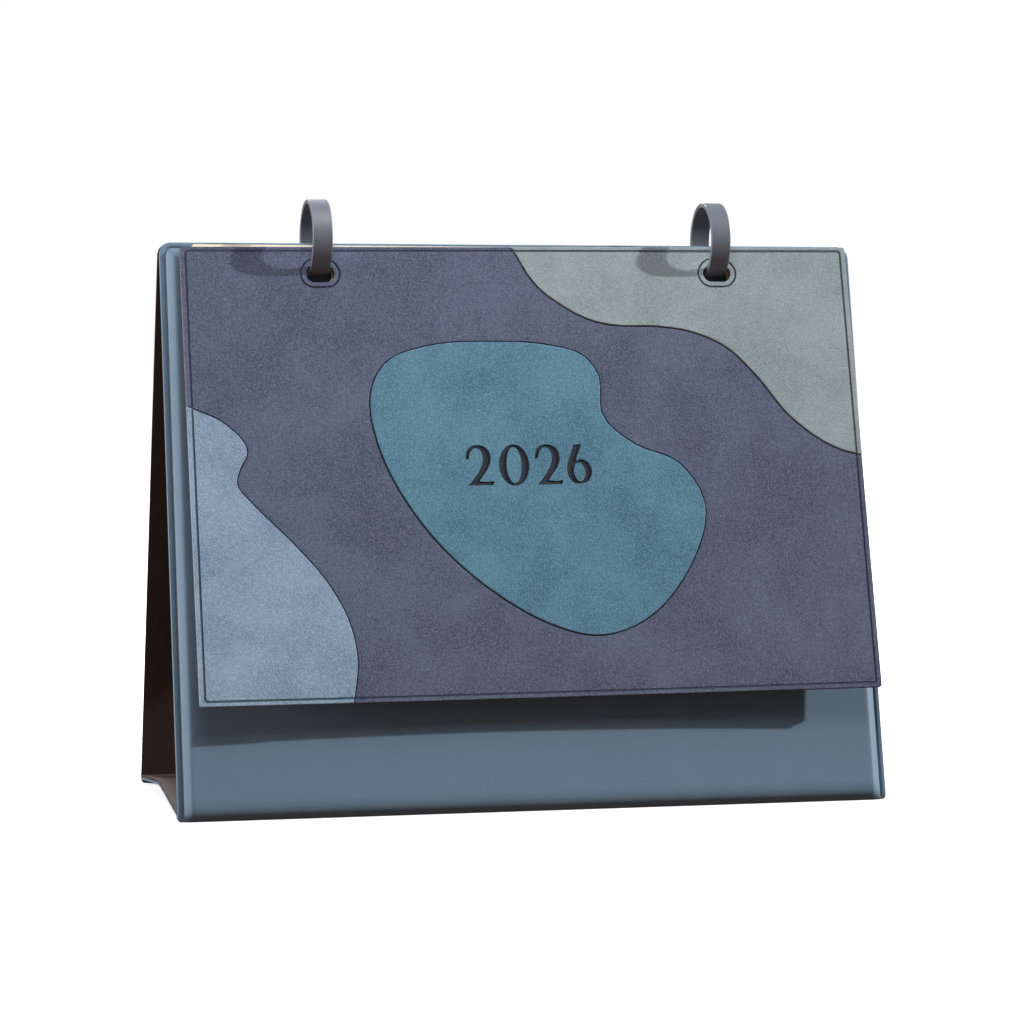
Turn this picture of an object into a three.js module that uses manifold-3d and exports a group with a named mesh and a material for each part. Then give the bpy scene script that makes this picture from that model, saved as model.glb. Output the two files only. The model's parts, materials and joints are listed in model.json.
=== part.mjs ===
// Desk calendar: a folded easel case, two snap rings, a page block and an inlaid cover leaf.
// Millimetres, +Z up, the cover faces -Y. The origin lies on the table, midway between the two feet.
import * as THREE from 'three';
import { mergeVertices } from 'three/addons/utils/BufferGeometryUtils.js';
import Module from 'manifold-3d';

const wasm = await Module();
wasm.setup();

const DEGREE = Math.PI / 180;
const QUARTER_TURN = Math.PI / 2;
const HALF_TURN = Math.PI;
const FULL_TURN = 2 * Math.PI;

// How far a cutting shape runs past what it cuts, and how close corners are before they are one
const CUT_MARGIN = 1;
const SAME_POINT = 1e-5;

// Easel case: two leaning panels joined by a base that is creased upwards in the middle
const CASE_WIDTH = 255;
const PANEL_LENGTH = 204.3;
const FOOT_SPREAD = 102.6;
const TOP_GAP = 2.07;
const CREASE_LIFT = 4.7;
const PANEL_CORNER_RADIUS = 4.5;

// Layers of the case, from the lining outwards
const LINING_THICKNESS = 0.6;
const GLUE_GAP = 0.3;
const BOARD_THICKNESS = 1.6;
const SKIN_THICKNESS = 0.8;

// Edge of a panel, from its rim inwards: flat flange, pressed groove, bevel up to the padded field
const FLANGE_WIDTH = 1.5;
const GROOVE_WIDTH = 0.8;
const GROOVE_DEPTH = 0.35;
const BEVEL_WIDTH = 2.7;
const FIELD_CORNER_RADIUS = 0.8;
const BOARD_EDGE_GAP = 0.3;
const CREASE_MARGIN = 1.5;

// Rounded folds that the case stands on, pressed flat where they meet the table
const FOLD_RADIUS = 2.8;
const FOOT_FLATTENING = 0.2;

// Snap rings: flat moulded bands, their two ends lapped over each other
const RING_MEAN_RADIUS = 13.25;
const RING_THICKNESS = 1.5;
const RING_WIDTH = 7;
const RING_EDGE_ROUND = 0.15;
const RING_CENTRE_Y = -3.4;
const RING_RISE = 1.75;
const RING_SHIFT = 1.3;
const LAP_CENTRE = 62 * DEGREE;
const LAP_HALF_ANGLE = 11 * DEGREE;
const LAP_SLIT = 0.3;

// Ring holes: oblong, each pair set this far below the top edge of its sheet
const HOLE_PITCH = 146;
const PANEL_HOLE = { length: 12.6, height: 7.2, drop: 10.25 };
const COVER_HOLE = { length: 10.4, height: 6.2, drop: 9.1 };
const PAGE_HOLE = { length: 10, height: 6, drop: 9.9 };
const BOARD_HOLE_MARGIN = 0.4;
const HOLE_RIM_WIDTH = 1.5;
const HOLE_RIM_GROOVE = 0.45;

// Cover leaf: hung in front of the panel, tilted a little further, and a little to the right of the middle
const COVER_WIDTH = 245;
const COVER_HEIGHT = 162.5;
const COVER_TILT = 1 * DEGREE;
const COVER_SKEW = 0.3 * DEGREE;
const COVER_TOP_Y = -9.5;
const COVER_TOP_DROP = 0.75;
const LEAF_SHIFT = 1.2;
const COVER_CORNER_RADIUS = 0.8;
const BACKING_THICKNESS = 0.8;
const FACE_THICKNESS = 0.9;
const INLAY_STAND = 0.3;
const INLAY_SEAM = 0.4;
const COVER_EDGE_ROUND = 0.2;
const BORDER_CREASE_INSET = 2.3;
const BORDER_CREASE_WIDTH = 0.5;
const PRESSED_DEPTH = 0.35;

// Page block, a little narrower than the cover and standing just above its left corner
const PAGE_WIDTH = 235;
const PAGE_HEIGHT = 157;
const PAGE_THICKNESS = 2;
const PAGE_TILT = 0.3 * DEGREE;
const PAGE_TOP_DROP = 0.85;
const PAGE_GAP = 0.5;

// Outlines of the inlaid fields in percent of the cover's width and height,
// across from its middle and up from its bottom edge
const CENTRE_INLAY_POINTS = [
  [-4.49, 78.77], [3.43, 77.91], [8.41, 75.63], [10.73, 70.77], [10.94, 61.78], [15.35, 55.51],
  [21.92, 51.08], [25.47, 41.6], [23.31, 29.85], [16.57, 17.48], [8.78, 12.98], [1.06, 15.75],
  [-8.45, 24.74], [-16.29, 36.86], [-22.08, 52.55], [-23.55, 66.46], [-20.98, 74.22],
  [-14.29, 77.97],
];
const UPPER_INLAY_POINTS = [
  [-1.63, 100], [2.2, 90.89], [5.71, 86.58], [9.51, 83.45], [13.47, 81.97], [20.2, 81.66],
  [25.31, 80.37], [30.41, 76.8], [34.78, 70.09], [39.02, 61.54], [43.43, 55.94], [46.73, 53.29],
  [50, 51.82],
];
const LOWER_INLAY_POINTS = [
  [-50, 64.98], [-44.98, 61.23], [-42.12, 57.11], [-41.51, 54.28], [-42.69, 50.58], [-43.14, 47.38],
  [-41.27, 43.51], [-35.55, 34.52], [-30.73, 25.48], [-28, 16.92], [-27.18, 8.68], [-28.08, 0],
];
const INLAY_CURVE_STEPS = 84;

const CORNER_STEPS = 6;
const RING_STEPS = 72;
const FOLD_STEPS = 40;

const COLOURS = {
  case_skin: 0x5d7083, lining: 0x3a2d2b, board: 0x8b8378, ring: 0x5f6b7b, page: 0xe6d9bd,
  slate: 0x575b73, teal: 0x50788c, pale: 0x8a9799, blue: 0x788ea6,
};

function finish(colour, roughness) {
  return new THREE.MeshStandardMaterial({ color: colour, roughness, metalness: 0 });
}

function toSolid(geometry, matrix = new THREE.Matrix4()) {
  const placed = geometry.clone().applyMatrix4(matrix);
  placed.deleteAttribute('normal');
  placed.deleteAttribute('uv');
  const merged = mergeVertices(placed, SAME_POINT);
  return new wasm.Manifold(new wasm.Mesh({
    numProp: 3,
    vertProperties: new Float32Array(merged.attributes.position.array),
    triVerts: new Uint32Array(merged.index.array),
  }));
}

function toGeometry(solid) {
  const mesh = solid.getMesh();
  const geometry = new THREE.BufferGeometry();
  geometry.setAttribute('position', new THREE.BufferAttribute(new Float32Array(mesh.vertProperties), 3));
  geometry.setIndex(new THREE.BufferAttribute(new Uint32Array(mesh.triVerts), 1));
  geometry.computeVertexNormals();
  return geometry;
}

function join(solids) {
  return solids.reduce((whole, solid) => whole.add(solid));
}

// Section of the case

const flangeLevel = GLUE_GAP + SKIN_THICKNESS;
const pocketLevel = GLUE_GAP + BOARD_THICKNESS + GLUE_GAP;
const fieldLevel = pocketLevel + SKIN_THICKNESS;
const panelLean = Math.asin((FOOT_SPREAD - TOP_GAP) / 2 / Math.hypot(PANEL_LENGTH, fieldLevel))
  - Math.atan2(fieldLevel, PANEL_LENGTH);
const outerFoot = new THREE.Vector2(-FOOT_SPREAD / 2, 0);
const slope = new THREE.Vector2(Math.sin(panelLean), Math.cos(panelLean));
const foldHeight = FOLD_RADIUS - FOOT_FLATTENING;
const fold = new THREE.Vector2(
  outerFoot.x + foldHeight * Math.tan(panelLean) + fieldLevel / Math.cos(panelLean), foldHeight);
const panelReach = PANEL_LENGTH + outerFoot.clone().sub(fold).dot(slope);
const panelTop = fold.clone().addScaledVector(slope, panelReach);
const crease = new THREE.Vector2(0, foldHeight + CREASE_LIFT);
const weldLine = [
  new THREE.Vector2(-panelTop.x, panelTop.y), new THREE.Vector2(-fold.x, fold.y), crease, fold, panelTop,
];

// The weld line moved outwards by a distance, with mitred corners
function offsetWeldLine(distance) {
  return weldLine.map((point, i) => {
    const before = weldLine[i - 1] ?? point.clone().multiplyScalar(2).sub(weldLine[i + 1]);
    const after = weldLine[i + 1] ?? point.clone().multiplyScalar(2).sub(before);
    const into = point.clone().sub(before).normalize();
    const out = after.clone().sub(point).normalize();
    const normalIn = new THREE.Vector2(-into.y, into.x);
    const normalOut = new THREE.Vector2(-out.y, out.x);
    const mitre = normalIn.clone().add(normalOut).normalize();
    return point.clone().addScaledVector(mitre, distance / mitre.dot(normalIn));
  });
}

// Turns a drawing's x, y and z into Y, Z and X, with its start at a place on X
function standUp(start) {
  const axes = new THREE.Matrix4().makeBasis(
    new THREE.Vector3(0, 1, 0), new THREE.Vector3(0, 0, 1), new THREE.Vector3(1, 0, 0));
  return axes.setPosition(start, 0, 0);
}

// A closed outline in the Y-Z plane, run across the width
function acrossWidth(outline, width) {
  const shape = new THREE.Shape(outline);
  const geometry = new THREE.ExtrudeGeometry(shape, { depth: width, bevelEnabled: false });
  return toSolid(geometry, standUp(-width / 2));
}

function foldedSheet(inner, outer, width) {
  return acrossWidth([...offsetWeldLine(inner), ...offsetWeldLine(outer).reverse()], width);
}

// Outlines in the plane of a panel: x across, y up from the fold

function arcPoints(cx, cy, radius, from, to, steps) {
  return Array.from({ length: steps + 1 }, (_, i) => {
    const angle = from + (to - from) * i / steps;
    return new THREE.Vector2(cx + radius * Math.cos(angle), cy + radius * Math.sin(angle));
  });
}

function roundedRectangle(x0, y0, x1, y1, lowerRadius, upperRadius) {
  const corners = [
    [x1 - lowerRadius, y0 + lowerRadius, lowerRadius, -QUARTER_TURN],
    [x1 - upperRadius, y1 - upperRadius, upperRadius, 0],
    [x0 + upperRadius, y1 - upperRadius, upperRadius, QUARTER_TURN],
    [x0 + lowerRadius, y0 + lowerRadius, lowerRadius, HALF_TURN],
  ];
  return corners.flatMap(([cx, cy, radius, start]) => (
    arcPoints(cx, cy, radius, start, start + QUARTER_TURN, CORNER_STEPS)));
}

function panelOutline(inset, bottom, lowerRadius = FIELD_CORNER_RADIUS) {
  const half = CASE_WIDTH / 2 - inset;
  const upperRadius = Math.max(PANEL_CORNER_RADIUS - inset, FIELD_CORNER_RADIUS);
  return roundedRectangle(-half, bottom, half, panelReach - inset, lowerRadius, upperRadius);
}

function stadium(cx, cy, length, height) {
  const reach = (length - height) / 2;
  return [[reach, -QUARTER_TURN], [-reach, QUARTER_TURN]].flatMap(([offset, start]) => (
    arcPoints(cx + offset, cy, height / 2, start, start + HALF_TURN, 2 * CORNER_STEPS)));
}

function slab(outline, low, high) {
  const shape = new THREE.Shape(outline);
  const geometry = new THREE.ExtrudeGeometry(shape, { depth: high - low, bevelEnabled: false });
  return toSolid(geometry, new THREE.Matrix4().makeTranslation(0, 0, low));
}

// A solid with one outline below and another of as many points above
function loft(lower, lowLevel, upper, highLevel) {
  const count = lower.length;
  const position = [
    ...lower.flatMap((p) => [p.x, p.y, lowLevel]),
    ...upper.flatMap((p) => [p.x, p.y, highLevel]),
  ];
  const cap = THREE.ShapeUtils.triangulateShape(lower, []);
  const index = cap.flatMap(([a, b, c]) => [c, b, a, a + count, b + count, c + count]);
  for (let i = 0; i < count; i += 1) {
    const next = (i + 1) % count;
    index.push(i, next, next + count, i, next + count, i + count);
  }
  const geometry = new THREE.BufferGeometry();
  geometry.setAttribute('position', new THREE.Float32BufferAttribute(position, 3));
  geometry.setIndex(index);
  return toSolid(geometry);
}

function placement(origin, up) {
  const across = new THREE.Vector3(1, 0, 0);
  const along = new THREE.Vector3(0, up.x, up.y);
  const matrix = new THREE.Matrix4().makeBasis(across, along, across.clone().cross(along));
  return matrix.setPosition(0, origin.x, origin.y);
}

const onPanel = placement(fold, slope);
const baseReach = crease.distanceTo(fold);
const onBase = placement(crease, fold.clone().sub(crease).normalize());
const turnedRound = new THREE.Matrix4().makeRotationZ(HALF_TURN);

function bothSides(solid, matrix) {
  const front = solid.transform(matrix.toArray());
  return front.add(front.transform(turnedRound.toArray()));
}

// A pair of oblong prisms on the centres of a sheet's ring holes, larger all round by a margin
function holePair(hole, top, margin, low, high) {
  const length = hole.length + 2 * margin;
  const height = hole.height + 2 * margin;
  return join([-1, 1].map((side) => (
    slab(stadium(side * HOLE_PITCH / 2, top - hole.drop, length, height), low, high))));
}

// Pressed grooves round a pair of ring holes, cut down from a face
function holeRims(hole, top, level) {
  const low = level - PRESSED_DEPTH;
  const high = level + CUT_MARGIN;
  return holePair(hole, top, HOLE_RIM_WIDTH + HOLE_RIM_GROOVE, low, high)
    .subtract(holePair(hole, top, HOLE_RIM_WIDTH, low - CUT_MARGIN, high + CUT_MARGIN));
}

function leafHoles(hole, top) {
  return holePair(hole, top, 0, -overall, overall);
}

// Case skin: one sheet of leatherette pressed over four boards

const bevelFoot = FLANGE_WIDTH + GROOVE_WIDTH;
const fieldInset = bevelFoot + BEVEL_WIDTH;
const grooveLevel = flangeLevel - GROOVE_DEPTH;
const overall = fieldLevel + CUT_MARGIN;
const behindLining = -LINING_THICKNESS - GLUE_GAP;

// What is cut off the square corners of a panel to round them
function panelTrim() {
  const half = CASE_WIDTH / 2 + CUT_MARGIN;
  const low = panelReach - 2 * PANEL_CORNER_RADIUS;
  const blank = roundedRectangle(-half, low, half, panelReach + CUT_MARGIN,
    FIELD_CORNER_RADIUS, FIELD_CORNER_RADIUS);
  return slab(blank, behindLining, overall)
    .subtract(slab(panelOutline(0, 0), behindLining - CUT_MARGIN, overall + CUT_MARGIN));
}

function panelHoles(margin) {
  return holePair(PANEL_HOLE, panelReach, margin, behindLining, overall);
}

function baseOutline(inset, nearCrease, nearFold) {
  const half = CASE_WIDTH / 2 - inset;
  return roundedRectangle(-half, nearCrease, half, baseReach - nearFold,
    FIELD_CORNER_RADIUS, FIELD_CORNER_RADIUS);
}

function makeSkin() {
  const panelField = loft(panelOutline(bevelFoot, 0), grooveLevel,
    panelOutline(fieldInset, BEVEL_WIDTH), fieldLevel);
  const baseField = loft(baseOutline(bevelFoot, CREASE_MARGIN, 0), grooveLevel,
    baseOutline(fieldInset, CREASE_MARGIN + BEVEL_WIDTH, BEVEL_WIDTH), fieldLevel);
  const rolls = join([[FOLD_RADIUS, bevelFoot], [flangeLevel, 0]].map(([radius, inset]) => (
    acrossWidth(arcPoints(fold.x, fold.y, radius, 0, FULL_TURN, FOLD_STEPS).slice(1),
      CASE_WIDTH - 2 * inset))));
  const groove = slab(panelOutline(FLANGE_WIDTH, FOLD_RADIUS), grooveLevel, overall)
    .subtract(slab(panelOutline(bevelFoot, -FOLD_RADIUS), grooveLevel - CUT_MARGIN, overall + CUT_MARGIN));
  const cutWidth = CASE_WIDTH + 2 * CUT_MARGIN;
  const interior = acrossWidth(offsetWeldLine(GLUE_GAP), cutWidth);
  const panelPocket = slab(panelOutline(fieldInset, BEVEL_WIDTH), -CUT_MARGIN, pocketLevel);
  const basePocket = slab(baseOutline(fieldInset, CREASE_MARGIN + BEVEL_WIDTH, BEVEL_WIDTH),
    -CUT_MARGIN, pocketLevel);
  const underTable = acrossWidth([
    new THREE.Vector2(-FOOT_SPREAD, -FOLD_RADIUS), new THREE.Vector2(FOOT_SPREAD, -FOLD_RADIUS),
    new THREE.Vector2(FOOT_SPREAD, 0), new THREE.Vector2(-FOOT_SPREAD, 0),
  ], cutWidth);
  return foldedSheet(GLUE_GAP, flangeLevel, CASE_WIDTH)
    .subtract(bothSides(groove, onPanel))
    .add(bothSides(panelField, onPanel))
    .add(bothSides(baseField, onBase))
    .add(rolls)
    .add(rolls.transform(turnedRound.toArray()))
    .subtract(interior)
    .subtract(bothSides(panelPocket, onPanel))
    .subtract(bothSides(basePocket, onBase))
    .subtract(bothSides(panelTrim(), onPanel))
    .subtract(bothSides(panelHoles(0), onPanel))
    .subtract(bothSides(holeRims(PANEL_HOLE, panelReach, fieldLevel), onPanel))
    .subtract(underTable);
}

function makeLining() {
  return foldedSheet(-LINING_THICKNESS, 0, CASE_WIDTH)
    .subtract(bothSides(panelTrim(), onPanel))
    .subtract(bothSides(panelHoles(0), onPanel));
}

function makePanelBoard() {
  const edge = BOARD_EDGE_GAP;
  return slab(panelOutline(fieldInset + edge, BEVEL_WIDTH + edge), GLUE_GAP, GLUE_GAP + BOARD_THICKNESS)
    .subtract(panelHoles(BOARD_HOLE_MARGIN));
}

function makeBaseBoard() {
  const edge = BOARD_EDGE_GAP;
  const outline = baseOutline(fieldInset + edge, CREASE_MARGIN + BEVEL_WIDTH + edge, BEVEL_WIDTH + edge);
  return slab(outline, GLUE_GAP, GLUE_GAP + BOARD_THICKNESS);
}

// Snap ring: an open band whose ends are halved in thickness and lapped

function makeRing() {
  const inner = RING_MEAN_RADIUS - RING_THICKNESS / 2;
  const outer = RING_MEAN_RADIUS + RING_THICKNESS / 2;
  const half = LAP_SLIT / 2;
  const slit = half / RING_MEAN_RADIUS;
  const early = LAP_CENTRE - LAP_HALF_ANGLE;
  const late = LAP_CENTRE + LAP_HALF_ANGLE;
  const outline = [
    ...arcPoints(0, 0, outer, late + slit, late - slit + FULL_TURN, RING_STEPS),
    ...arcPoints(0, 0, RING_MEAN_RADIUS + half, late - slit, early - slit, CORNER_STEPS),
    ...arcPoints(0, 0, inner, early - slit + FULL_TURN, early + slit, RING_STEPS),
    ...arcPoints(0, 0, RING_MEAN_RADIUS - half, early + slit, late + slit, CORNER_STEPS),
  ];
  const geometry = new THREE.ExtrudeGeometry(new THREE.Shape(outline), {
    depth: RING_WIDTH - 2 * RING_EDGE_ROUND,
    bevelEnabled: true,
    bevelSegments: 1,
    bevelSize: RING_EDGE_ROUND,
    bevelThickness: RING_EDGE_ROUND,
    bevelOffset: -RING_EDGE_ROUND,
  });
  return toSolid(geometry, standUp(RING_EDGE_ROUND - RING_WIDTH / 2));
}

// Cover leaf, in its own plane: x across, y up from the bottom edge, z out of the front face

const leafThickness = FACE_THICKNESS + GLUE_GAP + BACKING_THICKNESS;
const faceBack = -FACE_THICKNESS;

function smoothCurve(points, closed) {
  const knots = points.map(([x, y]) => (
    new THREE.Vector3(x / 100 * COVER_WIDTH, y / 100 * COVER_HEIGHT, 0)));
  const curve = new THREE.CatmullRomCurve3(knots, closed, 'centripetal');
  const samples = curve.getSpacedPoints(INLAY_CURVE_STEPS).map((p) => new THREE.Vector2(p.x, p.y));
  return closed ? samples.slice(1) : samples;
}

// Each point moved to the left of the way the curve runs
function shiftLeft(curve, distance, closed) {
  const count = curve.length;
  return curve.map((point, i) => {
    const before = closed ? curve.at(i - 1) : curve[Math.max(i - 1, 0)];
    const after = closed ? curve[(i + 1) % count] : curve[Math.min(i + 1, count - 1)];
    const along = after.clone().sub(before).normalize();
    return point.clone().add(new THREE.Vector2(-along.y, along.x).multiplyScalar(distance));
  });
}

function coverOutline(inset) {
  const half = COVER_WIDTH / 2 - inset;
  return roundedRectangle(-half, inset, half, COVER_HEIGHT - inset,
    COVER_CORNER_RADIUS, COVER_CORNER_RADIUS);
}

const centreEdge = smoothCurve(CENTRE_INLAY_POINTS, true);
const upperEdge = smoothCurve(UPPER_INLAY_POINTS, false);
const lowerEdge = smoothCurve(LOWER_INLAY_POINTS, false);

// Leatherette cut to an outline inside the cover's own, its edges slightly rounded
function cutLeatherette(outline, holes, low, high) {
  const shape = new THREE.Shape(outline);
  shape.holes = holes.map((hole) => new THREE.Path(hole));
  const geometry = new THREE.ExtrudeGeometry(shape, {
    depth: high - low - 2 * COVER_EDGE_ROUND,
    bevelEnabled: true,
    bevelSegments: 1,
    bevelSize: COVER_EDGE_ROUND,
    bevelThickness: COVER_EDGE_ROUND,
    bevelOffset: -COVER_EDGE_ROUND,
  });
  return toSolid(geometry, new THREE.Matrix4().makeTranslation(0, 0, low + COVER_EDGE_ROUND));
}

function pressBorder(solid, level) {
  const low = level - PRESSED_DEPTH;
  const high = level + CUT_MARGIN;
  const within = coverOutline(BORDER_CREASE_INSET + BORDER_CREASE_WIDTH);
  const pressed = slab(coverOutline(BORDER_CREASE_INSET), low, high)
    .subtract(slab(within, low - CUT_MARGIN, high + CUT_MARGIN));
  return solid.subtract(pressed).subtract(holeRims(COVER_HOLE, COVER_HEIGHT, level));
}

const rightX = COVER_WIDTH / 2;

// The rounded corner of the cover on one side (-1 left, 1 right), at its top or bottom (1 or -1)
function coverCorner(side, end) {
  const diagonal = Math.atan2(end, side);
  const centreX = side * (rightX - COVER_CORNER_RADIUS);
  const centreY = COVER_HEIGHT / 2 + end * (COVER_HEIGHT / 2 - COVER_CORNER_RADIUS);
  return arcPoints(centreX, centreY, COVER_CORNER_RADIUS,
    diagonal - QUARTER_TURN / 2, diagonal + QUARTER_TURN / 2, CORNER_STEPS);
}

function makeFace() {
  const outline = [
    ...coverCorner(1, -1),
    ...upperEdge.slice().reverse(),
    ...coverCorner(-1, 1),
    ...lowerEdge,
  ];
  const face = cutLeatherette(outline, [centreEdge], faceBack, 0);
  return pressBorder(face, 0).subtract(leafHoles(COVER_HOLE, COVER_HEIGHT));
}

function makeInlay(outline) {
  const inlay = cutLeatherette(outline, [], faceBack, INLAY_STAND);
  return pressBorder(inlay, INLAY_STAND).subtract(leafHoles(COVER_HOLE, COVER_HEIGHT));
}

function makeUpperInlay() {
  const edge = shiftLeft(upperEdge, INLAY_SEAM, false);
  edge[0].y = COVER_HEIGHT;
  edge[edge.length - 1].x = rightX;
  return makeInlay([...edge, ...coverCorner(1, 1)]);
}

function makeLowerInlay() {
  const edge = shiftLeft(lowerEdge, -INLAY_SEAM, false);
  edge[0].x = -rightX;
  edge[edge.length - 1].y = 0;
  return makeInlay([...edge, ...coverCorner(-1, -1).reverse()]);
}

function makeCentreInlay() {
  return makeInlay(shiftLeft(centreEdge, -INLAY_SEAM, true));
}

function makeBacking() {
  return slab(coverOutline(0), -leafThickness, faceBack - GLUE_GAP)
    .subtract(leafHoles(COVER_HOLE, COVER_HEIGHT));
}

function makePages() {
  const half = PAGE_WIDTH / 2;
  return slab(roundedRectangle(-half, 0, half, PAGE_HEIGHT, COVER_CORNER_RADIUS, COVER_CORNER_RADIUS),
    -PAGE_THICKNESS, 0).subtract(leafHoles(PAGE_HOLE, PAGE_HEIGHT));
}

// Assembly

const calendar = new THREE.Group();

function addPiece(parent, name, solid, colour, roughness) {
  const mesh = new THREE.Mesh(toGeometry(solid), finish(colour, roughness));
  mesh.name = name;
  parent.add(mesh);
  return mesh;
}

addPiece(calendar, 'case_skin', makeSkin(), COLOURS.case_skin, 0.55);
addPiece(calendar, 'case_lining', makeLining(), COLOURS.lining, 0.7);
for (const [side, turn] of [['front', 0], ['rear', HALF_TURN]]) {
  const half = new THREE.Group();
  half.rotation.z = turn;
  calendar.add(half);
  addPiece(half, `${side}_panel_board`, makePanelBoard(), COLOURS.board, 0.9).applyMatrix4(onPanel);
  addPiece(half, `${side}_base_board`, makeBaseBoard(), COLOURS.board, 0.9).applyMatrix4(onBase);
}

for (const [side, sign] of [['left', -1], ['right', 1]]) {
  const ring = addPiece(calendar, `${side}_ring`, makeRing(), COLOURS.ring, 0.5);
  ring.position.set(RING_SHIFT + sign * HOLE_PITCH / 2, RING_CENTRE_Y, panelTop.y + RING_RISE);
}

// A group that hangs from a point and leans back, moved to the right by the shift of the leaves
function hang(topY, topZ, lean) {
  const group = new THREE.Group();
  group.applyMatrix4(placement(new THREE.Vector2(topY, topZ),
    new THREE.Vector2(Math.sin(lean), Math.cos(lean))));
  group.position.x = LEAF_SHIFT;
  calendar.add(group);
  return group;
}

const coverLean = panelLean + COVER_TILT;
const cover = hang(COVER_TOP_Y, panelTop.y - COVER_TOP_DROP, coverLean);
const leaf = new THREE.Group();
leaf.rotation.z = COVER_SKEW;
leaf.position.set(COVER_HEIGHT * Math.sin(COVER_SKEW), -COVER_HEIGHT * Math.cos(COVER_SKEW), 0);
cover.add(leaf);
addPiece(leaf, 'cover_face', makeFace(), COLOURS.slate, 0.8);
addPiece(leaf, 'cover_backing', makeBacking(), COLOURS.lining, 0.8);
addPiece(leaf, 'centre_inlay', makeCentreInlay(), COLOURS.teal, 0.8);
addPiece(leaf, 'upper_inlay', makeUpperInlay(), COLOURS.pale, 0.8);
addPiece(leaf, 'lower_inlay', makeLowerInlay(), COLOURS.blue, 0.8);

const pageTopY = COVER_TOP_Y + (leafThickness + PAGE_GAP) / Math.cos(coverLean);
const pages = hang(pageTopY, panelTop.y - PAGE_TOP_DROP, panelLean + PAGE_TILT);
addPiece(pages, 'page_block', makePages(), COLOURS.page, 0.85).position.y = -PAGE_HEIGHT;

export default calendar;
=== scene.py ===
import json
import math
import random

import bmesh
import bpy
import numpy as np
from mathutils import Matrix, Vector


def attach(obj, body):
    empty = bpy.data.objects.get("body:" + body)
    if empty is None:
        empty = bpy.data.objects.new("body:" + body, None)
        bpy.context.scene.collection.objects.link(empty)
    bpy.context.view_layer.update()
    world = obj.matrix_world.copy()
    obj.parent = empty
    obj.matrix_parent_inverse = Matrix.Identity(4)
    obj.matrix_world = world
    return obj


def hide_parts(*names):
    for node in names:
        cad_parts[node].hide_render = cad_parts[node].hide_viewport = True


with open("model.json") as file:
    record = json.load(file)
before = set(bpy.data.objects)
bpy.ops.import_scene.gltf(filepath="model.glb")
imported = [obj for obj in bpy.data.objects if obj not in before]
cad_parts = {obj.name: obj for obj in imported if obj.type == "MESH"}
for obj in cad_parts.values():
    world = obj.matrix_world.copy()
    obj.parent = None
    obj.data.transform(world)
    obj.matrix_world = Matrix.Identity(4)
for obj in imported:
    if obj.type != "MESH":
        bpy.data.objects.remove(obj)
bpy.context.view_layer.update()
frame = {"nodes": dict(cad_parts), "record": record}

MM = 0.001
random.seed(7)

# Sizes are in millimetres. A leaf is drawn in its own plane: x across from its middle, y up from its
# bottom edge, z out of its face.
PANEL_LEAN = math.radians(13.4)
COVER_LEAN = PANEL_LEAN + math.radians(1)
PAGE_LEAN = PANEL_LEAN + math.radians(0.3)
COVER_HEIGHT = 162.5
COVER_HALF_WIDTH = 122.5
COVER_SKEW = math.radians(0.3)
LEAF_SHIFT = 1.2
LEAF_BOW = 1.9
LEAF_SWING = 2.3
COVER_TOP = (-9.5, 197.294)
BACKING_LEVEL = -1.2
INLAY_STAND = 0.3

# The line pressed round the cover leaf. The knots are distances from the rim at which the solid's line
# starts and ends; a strip is an axis, its rim, the way inwards and the width left outside the line here.
LINE_DEPTH = 0.35
BORDER_DEPTH = 0.15
BORDER_LINE = 0.8
BORDER_KNOTS = (0, 0.5, 2.3, 2.8, 6)
BORDER_STRIPS = ((0, -COVER_HALF_WIDTH, 1, 1.5), (0, COVER_HALF_WIDTH, -1, 1.6), (1, 0, 1, 1.3),
                 (1, COVER_HEIGHT, -1, 1.15))
BORDER_ZONE = 3

# Page sheets
PAGE_WIDTH = 235.0
PAGE_HEIGHT = 157.0
PAGE_STACK = 2.0
PAGE_TOP = (-6.922, 197.194)
PAGE_RISE = 0.22
PAGE_TURN = math.radians(-0.16)
SHEET_COUNT = 13
SHEET_SHARE = 0.78
INK_THICKNESS = 0.02

# Ring holes: length, height, drop below the top edge
HOLE_PITCH = 146.0
CASE_HOLE = (12.6, 6.2, 9.75)
CASE_HOLE_LINE = (3.9, 3)
COVER_HOLE = (10.4, 6.2, 9.1)
PAGE_HOLE = (10.0, 7.2, 10.6)
HOLE_SAG = 0.8
SAG_REACH = 7.5
HOLE_LINE = (1.75, 2.3)
HOLE_LINE_GAIN = 0.22


def plane_matrix(top, lean):
    """Places a drawing whose origin is the middle of a leaf's top edge; metres out, millimetres in."""
    up = Vector((0, math.sin(lean), math.cos(lean)))
    across = Vector((1, 0, 0))
    out = across.cross(up)
    turn = Matrix((across, up, out)).transposed().to_4x4()
    place = Matrix.Translation(Vector((LEAF_SHIFT, top[0], top[1])) * MM)
    return place @ turn @ Matrix.Scale(MM, 4)


def leaf_matrix():
    """The cover leaf's plane, with its slight turn in its own plane."""
    skew = Matrix.Rotation(COVER_SKEW, 4, "Z")
    foot = (COVER_HEIGHT * math.sin(COVER_SKEW), -COVER_HEIGHT * math.cos(COVER_SKEW), 0)
    return plane_matrix(COVER_TOP, COVER_LEAN) @ Matrix.Translation(foot) @ skew


# These take a drawing in millimetres to its place in metres
LEAF = leaf_matrix()
PAGES = (plane_matrix(PAGE_TOP, PAGE_LEAN) @ Matrix.Rotation(PAGE_TURN, 4, "Z")
         @ Matrix.Translation((0, PAGE_RISE - PAGE_HEIGHT, 0)))


def show(name, data):
    """A new object in the scene that shows the data."""
    made = bpy.data.objects.new(name, data)
    bpy.context.scene.collection.objects.link(made)
    return made


# Shader trees

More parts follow.
